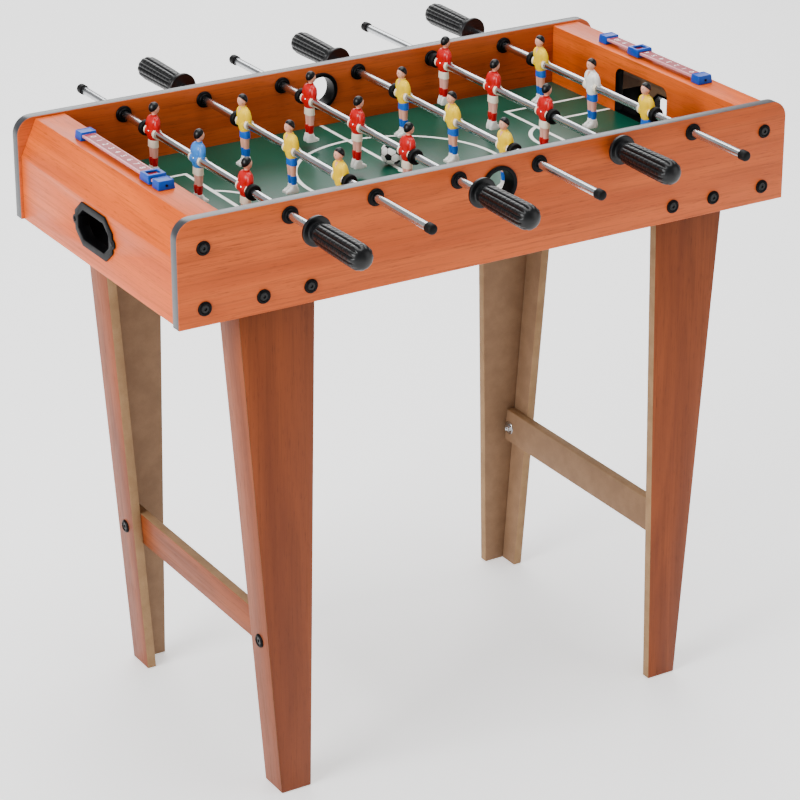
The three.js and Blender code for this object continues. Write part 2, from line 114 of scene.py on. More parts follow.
class Finish:
    """A material whose nodes are made one by one and whose surface is set last."""

    def __init__(self, name):
        self.material = bpy.data.materials.new(name)
        self.material.use_nodes = True
        self.tree = self.material.node_tree
        self.tree.nodes.clear()

    def node(self, kind, settings, sockets, output=0):
        """A node with its settings made first, then its sockets' values or links; gives one output."""
        made = self.tree.nodes.new(kind)
        for key, value in settings.items():
            if key == "stops":
                while len(made.color_ramp.elements) < len(value):
                    made.color_ramp.elements.new(1.0)
                for element, (place, colour) in zip(made.color_ramp.elements, value):
                    element.position, element.color = place, colour
            else:
                setattr(made, key, value)
        for key, value in sockets.items():
            if isinstance(value, Value):
                self.tree.links.new(value.socket, made.inputs[key])
            else:
                made.inputs[key].default_value = value
        return Value(self, made.outputs[output]) if made.outputs else None

    def place(self, stretch=(1, 1, 1), offset=(0, 0, 0)):
        """Object coordinates in millimetres, stretched for a pattern that runs one way."""
        where = self.node("ShaderNodeTexCoord", {}, {}, "Object")
        scale = [s / MM for s in stretch]
        return self.node("ShaderNodeMapping", {}, {"Vector": where, "Scale": scale, "Location": offset})

    def noise(self, place, size, detail=4.0, roughness=0.5, distortion=0.0):
        """Noise from 0 to 1 whose blots are about this size in millimetres."""
        return self.node("ShaderNodeTexNoise", {}, {
            "Vector": place, "Scale": 1 / size, "Detail": detail, "Roughness": roughness,
            "Distortion": distortion})

    def ramp(self, value, *stops):
        return self.node("ShaderNodeValToRGB", {"stops": stops}, {0: value})

    def mix(self, amount, first, second):
        return self.node("ShaderNodeMix", {"data_type": "RGBA"}, {0: amount, 6: first, 7: second}, 2)

    def bump(self, height, depth, strength=1.0):
        """A relief of this depth in millimetres."""
        return self.node("ShaderNodeBump", {}, {
            "Height": height, "Distance": depth * MM, "Strength": strength})

    def surface(self, **sockets):
        """Ends the material: words of a socket's name are joined by underscores."""
        named = {key.replace("_", " "): value for key, value in sockets.items()}
        shader = self.node("ShaderNodeBsdfPrincipled", {}, named)
        self.node("ShaderNodeOutputMaterial", {}, {"Surface": shader})
        return self.material


def laminate(name, along, pale, mid, dark, gloss=0.38):
    """Printed wood: faint broad flames, fine lines and short dark flecks along one axis."""
    f = Finish(name)

    def stretch(long, across=1.0):
        return [long if axis == along else across for axis in "XYZ"]

    flame = f.noise(f.place(stretch(0.09)), 34, 2, 0.5, 1.2)
    lines = f.noise(f.place(stretch(0.02), (7, 3, 5)), 2.4, 5, 0.6, 0.3)
    flecks = f.noise(f.place(stretch(0.07), (2, 9, 4)), 1.0, 2, 0.6)
    tone = f.ramp(flame * 0.6 + lines * 0.4, (0.36, mid), (0.62, pale))
    ink = (1 - lines.under(0.56, 0.1)) * 0.36 + (1 - flecks.under(0.64, 0.06)) * 0.3
    colour = f.mix(ink, tone, dark)
    return f.surface(Base_Color=colour, Roughness=gloss + (lines - 0.5) * 0.14 + ink * 0.12,
                     Normal=f.bump(lines * 0.6 - flecks * 0.4, 0.04, 0.45), Specular_IOR_Level=0.18)


def raw_board(name, colour, shade):
    """Pressed fibre board: fine specks and faint mottling."""
    f = Finish(name)
    specks = f.noise(f.place(), 0.7, 4, 0.7)
    mottle = f.noise(f.place(), 22, 3, 0.6)
    tone = f.mix(mottle.under(0.5, 0.22) * 0.6, colour, shade)
    tone = f.mix((1 - specks.under(0.58, 0.1)) * 0.45, tone, shade)
    return f.surface(Base_Color=tone, Roughness=0.78 + (specks - 0.5) * 0.2,
                     Normal=f.bump(specks, 0.08, 0.6))


def plastic(name, colour, gloss=0.32, grain=0.0, variation=0.08, coat=0.2, shine=0.5):
    """Moulded plastic: faint flow marks, an uneven gloss and, if any, a fine texture."""
    f = Finish(name)
    flow = f.noise(f.place(), 9, 3, 0.6, 0.4)
    fine = f.noise(f.place(), 0.45, 2, 0.6)
    shade = tuple(c * (1 - 2.2 * variation) for c in colour[:3]) + (1,)
    tone = f.mix(flow.under(0.5, 0.25), colour, shade)
    return f.surface(Base_Color=tone, Roughness=gloss + (flow - 0.5) * 0.14 + (fine - 0.5) * grain,
                     Normal=f.bump(fine * (0.15 + grain * 2) + flow, 0.03 + grain * 0.25, 0.5),
                     Coat_Weight=coat, Coat_Roughness=0.12, Specular_IOR_Level=shine)


def chromed(name):
    """Plated steel: bright, with hairline marks drawn along it and a faint haze."""
    f = Finish(name)
    hairs = f.noise(f.place((1.0, 0.01, 1.0)), 1.6, 3, 0.6)
    haze = f.noise(f.place(), 30, 3)
    tone = f.mix(haze, srgb(188, 191, 195), srgb(216, 218, 221))
    return f.surface(Base_Color=tone, Metallic=1.0,
                     Roughness=0.14 + hairs * 0.08 + haze * 0.06, Normal=f.bump(hairs, 0.01, 0.3))


LINE, LINE_BLUR = 2.1, 0.25  # half the width of a white line, and how soft its edge is
CENTRE_CIRCLE, CENTRE_SPOT = 108, 4.5
PENALTY_BOX = 192, 103  # distance of its front from the halfway line, half its length
GOAL_BOX = 229, 55
BOX_ARC = 216, 51  # distance of its middle from the halfway line, radius


def pitch_finish():
    """A printed pitch: green with white lines, the same on both halves."""
    f = Finish("pitch_print")
    where = f.node("ShaderNodeSeparateXYZ", {}, {0: f.place()})
    parts = where.socket.node.outputs
    x, y = abs(Value(f, parts[0])), abs(Value(f, parts[1]))

    def distance(centre):
        return ((x - centre) ** 2 + y ** 2) ** 0.5

    def stroke(offset):
        return abs(offset).under(LINE, LINE_BLUR)

    def box_line(front, side):
        rail = stroke(x - front) * y.under(side + LINE, LINE_BLUR)
        return rail.most(stroke(y - side) * (1 - x.under(front, LINE_BLUR)))

    centre, radius = BOX_ARC
    arc = stroke(distance(centre) - radius) * x.under(PENALTY_BOX[0], LINE_BLUR)
    lines = stroke(x).most(stroke(distance(0) - CENTRE_CIRCLE)).most(box_line(*PENALTY_BOX))
    lines = lines.most(box_line(*GOAL_BOX)).most(arc).most(distance(0).under(CENTRE_SPOT, LINE_BLUR))
    cloth = f.noise(f.place(), 60, 3, 0.55)
    fine = f.noise(f.place(), 0.8, 3, 0.6)
    green = f.mix(cloth, srgb(0, 60, 44), srgb(2, 82, 62))
    green = f.mix(fine.under(0.45, 0.15) * 0.3, green, srgb(0, 46, 34))
    ink = f.mix(fine.under(0.4, 0.1) * 0.25, srgb(238, 240, 234), srgb(200, 214, 204))
    return f.surface(Base_Color=f.mix(lines, green, ink), Roughness=0.26 + cloth * 0.12 - lines * 0.04,
                     Normal=f.bump(fine + lines * 0.6, 0.03, 0.5), Specular_IOR_Level=0.2)


WOOD = srgb(204, 94, 38), srgb(170, 71, 23), srgb(94, 38, 14)
END_WOOD = srgb(222, 98, 26), srgb(188, 74, 12), srgb(104, 38, 6)
LEG_WOOD = srgb(140, 68, 30), srgb(108, 49, 20), srgb(62, 27, 10)
FINISH = {  # a plastic: colour, roughness, grain, variation, coat, shine
    "panel": laminate("panel_laminate", "X", *WOOD),
    "end": laminate("end_laminate", "Y", *END_WOOD),
    "leg": laminate("leg_laminate", "Z", *LEG_WOOD, 0.44),
    "brace": laminate("brace_laminate", "Y", *LEG_WOOD, 0.44),
    "raw": raw_board("raw_fibre_board", srgb(134, 102, 73), srgb(112, 82, 56)),
    "cut_edge": raw_board("cut_board_edge", srgb(150, 116, 78), srgb(120, 88, 54)),
    "band": plastic("edge_band", srgb(46, 47, 51), 0.34, 0.06, 0.05, 0.1, 0.45),
    "pitch": pitch_finish(),
    "black": plastic("black_plastic", srgb(6, 6, 8), 0.42, 0.12, 0.12, 0.0, 0.09),
    "grip": plastic("grip_plastic", srgb(7, 8, 10), 0.34, 0.08, 0.12, 0.0, 0.3),
    "rubber": plastic("black_rubber", srgb(9, 9, 10), 0.55, 0.2, 0.15, 0.0, 0.14),
    "chrome": chromed("plated_steel"),
    "blue": plastic("scorer_blue", srgb(0, 66, 166), 0.4, 0.02, 0.08, 0.0, 0.25),
    "rail": plastic("scorer_rail_clear", srgb(204, 138, 146), 0.28, 0.0, 0.05, 0.0, 0.3),
    "label": plastic("scorer_label", srgb(150, 34, 48), 0.4, 0.02, 0.1, 0.0, 0.2),
    "numeral": plastic("scorer_numerals", srgb(250, 232, 234), 0.4, 0.0, 0.02, 0.0),
    "ball_white": plastic("ball_white", srgb(248, 248, 244), 0.34, 0.05, 0.03, 0.1),
    "ball_black": plastic("ball_black", srgb(8, 8, 10), 0.36, 0.05, 0.1, 0.0, 0.3),
    "ball_seam": plastic("ball_seam", srgb(96, 98, 98), 0.6, 0.05, 0.1, 0.0),
    "hair": plastic("figure_hair", srgb(6, 7, 10), 0.36, 0.02, 0.1, 0.0, 0.3),
    "skin": plastic("figure_skin", srgb(240, 172, 144), 0.4, 0.0, 0.03, 0.0, 0.3),
    "cream": plastic("figure_cream", srgb(250, 236, 212), 0.32, 0.0, 0.03, 0.15),
    "red": plastic("figure_red", srgb(200, 0, 10), 0.32, 0.0, 0.1, 0.05, 0.35),
    "yellow": plastic("figure_yellow", srgb(254, 210, 0), 0.4, 0.0, 0.03, 0.0, 0.2),
    "sky": plastic("figure_light_blue", srgb(52, 130, 216), 0.32, 0.0, 0.06, 0.05, 0.35),
    "white": plastic("figure_white", srgb(248, 248, 242), 0.28, 0.0, 0.03, 0.2),
    "team_blue": plastic("figure_blue", srgb(0, 98, 206), 0.32, 0.0, 0.08, 0.05, 0.35),
    "pink": plastic("figure_pink", srgb(244, 176, 158), 0.36, 0.0, 0.04, 0.0, 0.3),
    "lips": plastic("figure_lips", srgb(196, 60, 52), 0.4, 0.0, 0.04, 0.05),
}


# ---------------------------------------------------------------- shapes


def sharp_edges(bm, degrees=30):
    return [e for e in bm.edges if len(e.link_faces) == 2 and e.calc_face_angle(0) > radians(degrees)]


def soften(bm, width, segments=2, degrees=30, edges=None):
    """Rounds the sharp edges, or only the edges given."""
    chosen = sharp_edges(bm, degrees) if edges is None else edges
    bmesh.ops.bevel(bm, geom=chosen, offset=width, offset_type="OFFSET", affect="EDGES",
                    segments=segments, profile=0.5, material=-1, clamp_overlap=True)
    return bm


def tidy(bm):
    bmesh.ops.remove_doubles(bm, verts=bm.verts, dist=1e-3)
    bm.normal_update()
    bmesh.ops.recalc_face_normals(bm, faces=bm.faces)
    return bm


def put(bm, at=(0, 0, 0), turn=(0, 0, 0)):
    """Turns a shape and then moves it."""
    matrix = Matrix.Translation(at) @ Euler(turn).to_matrix().to_4x4()
    bmesh.ops.transform(bm, matrix=matrix, verts=bm.verts)
    return bm


def join(*shapes):
    """One shape from several: each is a bmesh, or a bmesh and the number of its finish."""
    whole = bmesh.new()
    for shape in shapes:
        bm, number = shape if isinstance(shape, tuple) else (shape, None)
        if number is not None:
            for face in bm.faces:
                face.material_index = number
        carrier = bpy.data.meshes.new("carrier")
        bm.to_mesh(carrier)
        bm.free()
        whole.from_mesh(carrier)
        bpy.data.meshes.remove(carrier)
    return whole


def turned(profile, sides=48, bevel=0.0, segments=2):
    """A shape turned round the Y axis from (radius, distance along) points."""
    bm = bmesh.new()
    verts = [bm.verts.new((radius, along, 0)) for radius, along in profile]
    edges = [bm.edges.new(pair) for pair in zip(verts, verts[1:])]
    bmesh.ops.spin(bm, geom=verts + edges, axis=(0, 1, 0), cent=(0, 0, 0), angle=2 * pi, steps=sides,
                   use_merge=True, use_duplicate=False)
    tidy(bm)
    return soften(bm, bevel, segments) if bevel else bm


def slab(low, high, bevel=0.0, segments=2, shear=None):
    """A box between two corners; shear moves a corner, given which side it is on along each axis."""
    bm = bmesh.new()
    bmesh.ops.create_cube(bm, size=1)
    centre, size = (Vector(low) + Vector(high)) / 2, Vector(high) - Vector(low)
    for vert in bm.verts:
        side = tuple(1 if c > 0 else -1 for c in vert.co)
        vert.co = centre + Vector(c * s for c, s in zip(vert.co, size))
        if shear:
            vert.co += Vector(shear(*side))
    return soften(bm, bevel, segments) if bevel else bm


def new_verts(result):
    """The vertices that an extrusion has made."""
    return [g for g in result["geom"] if isinstance(g, bmesh.types.BMVert)]


def extended(bm, edges):
    """Extrudes a loop of edges; gives the new loop's vertices and edges."""
    out = bmesh.ops.extrude_edge_only(bm, edges=edges)
    verts = new_verts(out)
    upper = set(verts)
    return verts, [g for g in out["geom"]
                   if isinstance(g, bmesh.types.BMEdge) and upper.issuperset(g.verts)]


def tower(rings, sides=20, square=2.0):
    """Stacked rings with closed ends: (height, half depth, half width, centre x, centre y) each."""
    bm = bmesh.new()
    bmesh.ops.create_circle(bm, cap_ends=False, segments=sides, radius=1)
    edges = bm.edges[:]
    height, deep, wide, mid_x, mid_y = rings[0]
    for vert in bm.verts:
        reach = (abs(vert.co.x) ** square + abs(vert.co.y) ** square) ** (-1 / square)
        vert.co = Vector((mid_x + vert.co.x * reach * deep, mid_y + vert.co.y * reach * wide, height))
    for below, (height, deep, wide, mid_x, mid_y) in zip(rings, rings[1:]):
        verts, edges = extended(bm, edges)
        for vert in verts:
            vert.co = Vector((mid_x + (vert.co.x - below[3]) * deep / below[1],
                              mid_y + (vert.co.y - below[4]) * wide / below[2], height))
    bmesh.ops.holes_fill(bm, edges=bm.edges, sides=0)
    return tidy(bm)


def ball_shape(radius, at=(0, 0, 0), stretch=(1, 1, 1), u=20, v=12):
    bm = bmesh.new()
    bmesh.ops.create_uvsphere(bm, u_segments=u, v_segments=v, radius=radius)
    bmesh.ops.scale(bm, vec=stretch, verts=bm.verts)
    return put(bm, at)


def from_node(node, bevel=0.0, segments=2):
    """A merged copy of a CAD node, in millimetres, its flat faces whole again."""
    bm = bmesh.new()
    bm.from_mesh(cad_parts[node].data)
    bmesh.ops.scale(bm, vec=(1 / MM,) * 3, verts=bm.verts)
    bmesh.ops.remove_doubles(bm, verts=bm.verts, dist=2e-3)
    bmesh.ops.dissolve_limit(bm, angle_limit=radians(1), verts=bm.verts, edges=bm.edges)
    return soften(bm, bevel, segments) if bevel else bm


def paint(bm, choose):
    """Gives each face the number of the finish that choose(normal, centre) says."""
    bm.normal_update()
    for face in bm.faces:
        face.material_index = choose(face.normal, face.calc_center_median())
    return bm


def piece(name, bm, body, finishes, replaced=(), smooth=32):
    """Makes a finished object of a shape drawn in millimetres."""
    bmesh.ops.scale(bm, vec=(MM,) * 3, verts=bm.verts)
    mesh = bpy.data.meshes.new(name)
    bm.to_mesh(mesh)
    bm.free()
    for finish in finishes:
        mesh.materials.append(FINISH[finish])
    mesh.shade_smooth()
    mesh.set_sharp_from_angle(angle=radians(smooth))
    obj = bpy.data.objects.new(name, mesh)
    bpy.context.scene.collection.objects.link(obj)
    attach(obj, body)
    if replaced:
        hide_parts(*replaced)
    return obj


# ---------------------------------------------------------------- the box

near_low, near_high = span("near_side_panel")
goal_low, goal_high = span("right_goal_wall")
pitch_low, pitch_high = span("playfield")
ring_middle = middle("near_entry_ring")
BEARING_PROUD = 3.5
panel_outer = -near_low.y - BEARING_PROUD
panel_inner = -near_high.y + BEARING_PROUD
half_board = (panel_outer - panel_inner) / 2
rod_x = [middle(f"rod_{n}").x for n in RODS]
rod_z = middle("rod_1").z
PANEL_CORNER = 18
BEARING_HOLE, ENTRY_HOLE = 6.3, 17.5  # radii of the holes in the board
ENTRY_BORE, ENTRY_SLEEVE, ENTRY_FLANGE = 15.5, 17.3, 19.9  # radii of the ball's entry ring
LEG_BOLTS = [(x, 540.5) for x in (-257, -207, 207, 257)]
END_BOLTS = [(x, z) for x in (-318, 318) for z in (600, 541)]
SOCKET_DEPTH, HEAD_DEPTH = 1.2, 1.4  # of a bolt's head
MOUTH_HALF = 46.5  # half the goal mouth's width, and a little more
POCKET_SCREWS = 41  # distance of a ball pocket's screws from its middle
SCREW_ROOM = 0.75  # how much thinner the pocket's flange is for its screw heads


def side_panel(side):
    """A drilled board with a grey band round its edge, on the near (-1) or far (1) side."""
    bm = bmesh.new()
    bmesh.ops.create_grid(bm, x_segments=1, y_segments=1, size=0.5)
    width, height = near_high.x - near_low.x, near_high.z - near_low.z
    bmesh.ops.scale(bm, vec=(width, height, 1), verts=bm.verts)
    put(bm, (0, (near_low.z + near_high.z) / 2, 0))
    upper = [v for v in bm.verts if v.co.y > near_low.z + 1]
    bmesh.ops.bevel(bm, geom=upper, offset=PANEL_CORNER, affect="VERTICES", segments=9, profile=0.5,
                    material=-1)
    bmesh.ops.delete(bm, geom=bm.faces[:], context="FACES_ONLY")
    holes = [(x, rod_z, BEARING_HOLE) for x in rod_x] + [(0, ring_middle.z, ENTRY_HOLE)]
    for x, z, radius in holes:
        bmesh.ops.create_circle(bm, cap_ends=False, segments=36, radius=radius,
                                matrix=Matrix.Translation((x, z, 0)))
    bmesh.ops.triangle_fill(bm, use_beauty=True, use_dissolve=False, edges=bm.edges[:])
    bmesh.ops.dissolve_limit(bm, angle_limit=radians(1), verts=bm.verts, edges=bm.edges)
    out = bmesh.ops.extrude_face_region(bm, geom=bm.faces[:])
    bmesh.ops.translate(bm, vec=(0, 0, 2 * half_board), verts=new_verts(out))
    tidy(bm)
    last_hole = rod_x[-1] + 2 * BEARING_HOLE

    def on_outline(vert):
        return abs(vert.co.x) > last_hole or not near_low.z + 1 <= vert.co.y <= near_high.z - 1

    outline = [e for e in sharp_edges(bm) if all(on_outline(v) for v in e.verts)]
    soften(bm, 0.7, 3, edges=outline)
    put(bm, (0, -panel_inner if side < 0 else panel_outer, 0), (pi / 2, 0, 0))
    return paint(bm, lambda n, c: 1 if abs(n.y) < 0.6 else 0)


def bearing():
    """A push-in bush: a rounded flange on each face of the board, joined by a sleeve."""
    half, out = half_board, half_board + BEARING_PROUD
    bore, sleeve, flange = ROD_RADIUS + 0.3, 6.1, 8.7
    return turned([
        (bore, -out + 0.6), (bore, out - 0.6), (bore + 0.5, out - 0.1), (sleeve - 0.4, out - 0.1),
        (sleeve + 0.3, out - 0.9), (flange - 1.1, out - 1.1), (flange - 0.3, out - 1.7),
        (flange, out - 2.4), (flange, half + 0.1), (sleeve, half), (sleeve, -half),
        (flange, -half - 0.1), (flange, -out + 2.4), (flange - 0.3, -out + 1.7),
        (flange - 1.1, -out + 1.1), (sleeve + 0.3, -out + 0.9), (sleeve - 0.4, -out + 0.1),
        (bore + 0.5, -out + 0.1), (bore, -out + 0.6),
    ], 40)


def entry_ring():
    """The flanged ring in the board that the ball is put in through, its rims rounded."""
    low, high = span("near_entry_ring")
    half, out = half_board, (high.y - low.y) / 2
    bore, sleeve, flange = ENTRY_BORE, ENTRY_SLEEVE, ENTRY_FLANGE
    return turned([
        (bore, -out + 0.8), (bore, out - 0.8), (bore + 0.8, out), (flange - 0.8, out),
        (flange, out - 0.8), (flange, half + 0.1), (sleeve, half), (sleeve, -half),
        (flange, -half - 0.1), (flange, -out + 0.8), (flange - 0.8, -out), (bore + 0.8, -out),
        (bore, -out + 0.8)], 72, 0.3, 2)


def cup_bolt():
    """A socket screw sunk in a cup washer, facing -Y: washer 0, screw 1."""
    washer = turned([(7.1, 0), (7.1, -0.7), (6.5, -1.7), (5.4, -2.3), (4.5, -2.2), (3.9, -1.5), (3.9, 0),
                     (7.1, 0)], 36)
    head = bmesh.new()
    bmesh.ops.create_circle(head, cap_ends=False, segments=24, radius=3.7)
    bmesh.ops.create_circle(head, cap_ends=False, segments=6, radius=1.9)
    bmesh.ops.bridge_loops(head, edges=head.edges[:])
    socket = [e for e in head.edges if e.is_boundary and all(v.co.length < 2.5 for v in e.verts)]
    deep = bmesh.ops.extrude_edge_only(head, edges=socket)
    bmesh.ops.translate(head, vec=(0, 0, -SOCKET_DEPTH), verts=new_verts(deep))
    rim = [e for e in head.edges if e.is_boundary and all(v.co.length > 3 for v in e.verts)]
    skirt = bmesh.ops.extrude_edge_only(head, edges=rim)
    bmesh.ops.translate(head, vec=(0, 0, -HEAD_DEPTH), verts=new_verts(skirt))
    bmesh.ops.holes_fill(head, edges=head.edges, sides=0)
    tidy(head)
    put(head, (0, -1.5, 0), (pi / 2, 0, 0))
    return join((washer, 0), (head, 1))


def placed_bolts(places, surface, side):
    bolts = []
    for x, z in places:
        bolt = cup_bolt()
        put(bolt, (x, side * surface, z), (0, 0, 0) if side < 0 else (0, 0, pi))
        bolts.append(bolt)
    return join(*bolts)


for name, side in (("near", -1), ("far", 1)):
    piece(f"{name}_panel_board", side_panel(side), "table", ["panel", "band"],
          [f"{name}_side_panel"])
    centre_y = side * (panel_outer + panel_inner) / 2
    piece(f"{name}_bearings", join(*(put(bearing(), (x, centre_y, rod_z)) for x in rod_x)),
          "table", ["black"])
    piece(f"{name}_panel_bolts", placed_bolts(LEG_BOLTS + END_BOLTS, panel_outer, side),
          "table", ["black", "grip"])
    piece(f"{name}_ball_entry", put(entry_ring(), middle(f"{name}_entry_ring")), "table", ["black"],
          [f"{name}_entry_ring"])

for name, side in (("left", -1), ("right", 1)):
    cover = from_node(f"{name}_end_cover")

    def at_seam(vert):
        return vert.co.z < goal_high.z + 0.5 and abs(vert.co.x) < goal_high.x + 1

    visible = [e for e in sharp_edges(cover, 20) if not all(at_seam(v) for v in e.verts)]
    soften(cover, 0.6, 2, edges=visible)

    def cover_finish(normal, centre, side=side):
        inward = normal.x * side < -0.3 and abs(centre.x) > goal_low.x + 1.5
        below = normal.z < -0.3
        return 1 if inward or below or abs(normal.y) > 0.9 else 0

    piece(f"{name}_end_board", paint(cover, cover_finish), "table", ["end", "raw"],
          [f"{name}_end_cover"])
    wall = from_node(f"{name}_goal_wall")
    mouth = [e for e in sharp_edges(wall, 20)
             if all(abs(v.co.y) < MOUTH_HALF + 0.5 and pitch_high.z - 1 < v.co.z < goal_high.z - 2
                    for v in e.verts)]
    soften(wall, 0.6, 2, edges=mouth)
    for vert in wall.verts:
        if vert.co.z > goal_high.z - 0.1:  # closes the gap under the end cover
            vert.co.z += 0.3

    def wall_finish(normal, centre, side=side):
        inside_mouth = abs(centre.y) < MOUTH_HALF and pitch_high.z - 1 < centre.z < goal_high.z - 3
        if inside_mouth and abs(normal.x) < 0.95:
            return 2
        return 0 if normal.x * side < -0.5 else 1

    piece(f"{name}_goal_board", paint(wall, wall_finish), "table", ["end", "raw", "black"],
          [f"{name}_goal_wall"])
    piece(f"{name}_ball_chute", from_node(f"{name}_ball_tray", 0.4), "table", ["black"],
          [f"{name}_ball_tray"])

    pocket = from_node(f"{name}_ball_pocket")
    face_x = side * (span("right_ball_pocket")[1].x - SCREW_ROOM)
    for vert in pocket.verts:
        if vert.co.x * side > face_x * side:
            vert.co.x = face_x
    soften(pocket, 0.8, 3, 40)
    screws = []
    for y in (-POCKET_SCREWS, POCKET_SCREWS):
        screw = turned([(0, 0), (2.9, 0), (2.9, -0.4), (2.2, -1.1), (0.9, -1.35), (0, -1.35)], 28)
        slots = [slab((-1.6, -1.6, -0.3), (1.6, -1.25, 0.3)),
                 slab((-0.3, -1.6, -1.6), (0.3, -1.25, 1.6))]
        screw = join((screw, 0), *((s, 1) for s in slots))
        put(screw, (face_x - side * 0.6, y, middle(f"{name}_ball_pocket").z), (0, 0, side * pi / 2))
        screws.append(screw)
    piece(f"{name}_pocket_frame", pocket, "table", ["black"],
          [f"{name}_ball_pocket"])
    piece(f"{name}_pocket_screws", join(*screws), "table", ["black", "grip"])

pitch = from_node("playfield")
piece("pitch_board", paint(pitch, lambda n, c: 0 if n.z > 0.5 else 1), "table", ["pitch", "raw"],
      ["playfield"])


# ---------------------------------------------------------------- legs and braces

BOARD = 10  # thickness
SPLAY = 40  # how far the foot stands in from the top of the leg
LEG_WIDTH = 33, 84.5  # of the side board, at the foot and at the top
LEG_DEPTH = 34, 41  # of the end board
LEG_SEAM = 0.15


def leg_board(x_side, y_side, wide):
    """A leg's board that faces the side (wide) or the end of the table, mitred along the corner."""
    low, high = span(f"{'near' if y_side < 0 else 'far'}_{'left' if x_side < 0 else 'right'}_leg")
    outer_top = max(abs(low.x), abs(high.x))
    outer_y = max(abs(low.y), abs(high.y))
    top = high.z

    def corner(sx, sy, sz):
        outer = outer_top - (SPLAY if sz < 0 else 0)
        width, depth = LEG_WIDTH[sz > 0], LEG_DEPTH[sz > 0]
        if wide:
            x = outer - (BOARD + LEG_SEAM if sy < 0 else LEG_SEAM) if sx > 0 else outer - width
            y = outer_y if sy > 0 else outer_y - BOARD
        else:
            x = outer if sx > 0 else outer - BOARD
            y = outer_y - (LEG_SEAM if sx > 0 else BOARD + LEG_SEAM) if sy > 0 else outer_y - depth
        return Vector((x * x_side, y * y_side, 0 if sz < 0 else top))

    bm = bmesh.new()
    bmesh.ops.create_cube(bm, size=1)
    for vert in bm.verts:
        vert.co = corner(*(1 if c > 0 else -1 for c in vert.co))
    soften(tidy(bm), 0.5, 2, 20)
    outward = Vector((0, y_side, 0)) if wide else Vector((x_side, 0, 0))

    def finish(normal, centre):
        if normal.dot(outward) > 0.8:
            return 0
        return 1 if normal.dot(outward) < -0.8 else 2

    return paint(bm, finish)


def hex_nut(radius, height):
    """A nut on a wide washer whose back is at 0, pointing along +Y."""
    nut = bmesh.new()
    bmesh.ops.create_cone(nut, cap_ends=True, segments=6, radius1=radius, radius2=radius, depth=height)
    put(nut, (0, height / 2, 0), (pi / 2, 0, 0))
    soften(nut, 0.5, 2)
    thread = turned([(0, height - 0.2), (radius * 0.55, height - 0.2), (radius * 0.55, height + 1.2),
                     (radius * 0.35, height + 1.8), (0, height + 1.8)], 20)
    washer = turned([(2.5, 0), (7.4, 0), (7.4, 0.9), (7.0, 1.3), (2.5, 1.3), (2.5, 0)], 36)
    return join(put(nut, (0, 1.2, 0)), put(thread, (0, 1.2, 0)), washer)


for y_name, y_side in (("near", -1), ("far", 1)):
    for x_name, x_side in (("left", -1), ("right", 1)):
        leg = f"{y_name}_{x_name}_leg"
        piece(f"{leg}_side_board", leg_board(x_side, y_side, True), "table", ["leg", "raw", "cut_edge"],
              [leg])
        piece(f"{leg}_end_board", leg_board(x_side, y_side, False), "table",
              ["leg", "raw", "cut_edge"])

BRACE_BOLT_HEIGHT, BRACE_BOLT_Y = 167, 147
BRACE_FOOT_X = 240  # where the line of the braces' outer faces meets the floor
for name, side in (("left", -1), ("right", 1)):
    brace = from_node(f"{name}_brace", 0.6)

    def brace_finish(normal, centre, side=side):
        if abs(normal.x) > 0.8:
            return 0 if normal.x * side > 0 else 1
        return 2

    piece(f"{name}_brace_board", paint(brace, brace_finish), "table", ["brace", "raw", "cut_edge"],
          [f"{name}_brace"])
    slope = SPLAY / span("near_left_leg")[1].z
    heads, nuts = [], []
    for y in (-BRACE_BOLT_Y, BRACE_BOLT_Y):
        outer_x = side * (BRACE_FOOT_X + slope * BRACE_BOLT_HEIGHT)
        inner_x = outer_x - side * (2 * BOARD + 0.3)
        heads.append(put(cup_bolt(), (outer_x, y, BRACE_BOLT_HEIGHT), (0, 0, side * pi / 2)))
        nuts.append(put(hex_nut(4.6, 3.4), (inner_x, y, BRACE_BOLT_HEIGHT), (0, 0, side * pi / 2)))
    piece(f"{name}_brace_bolts", join(*heads), "table", ["black", "grip"])
    piece(f"{name}_brace_nuts", join(*nuts), "table", ["chrome"])


# ---------------------------------------------------------------- scorers


def numeral(text, height):
    """A thin raised number, flat on the ground, its middle at the origin."""
    curve = bpy.data.curves.new("numeral", "FONT")
    curve.body, curve.size, curve.extrude = text, height, 0.06
    curve.align_x, curve.align_y, curve.resolution_u = "CENTER", "CENTER", 3
    holder = bpy.data.objects.new("numeral", curve)
    bpy.context.scene.collection.objects.link(holder)
    bpy.context.view_layer.update()
    mesh = bpy.data.meshes.new_from_object(holder)
    bm = bmesh.new()
    bm.from_mesh(mesh)
    bpy.data.objects.remove(holder)
    bpy.data.curves.remove(curve)
    bpy.data.meshes.remove(mesh)
    return bm


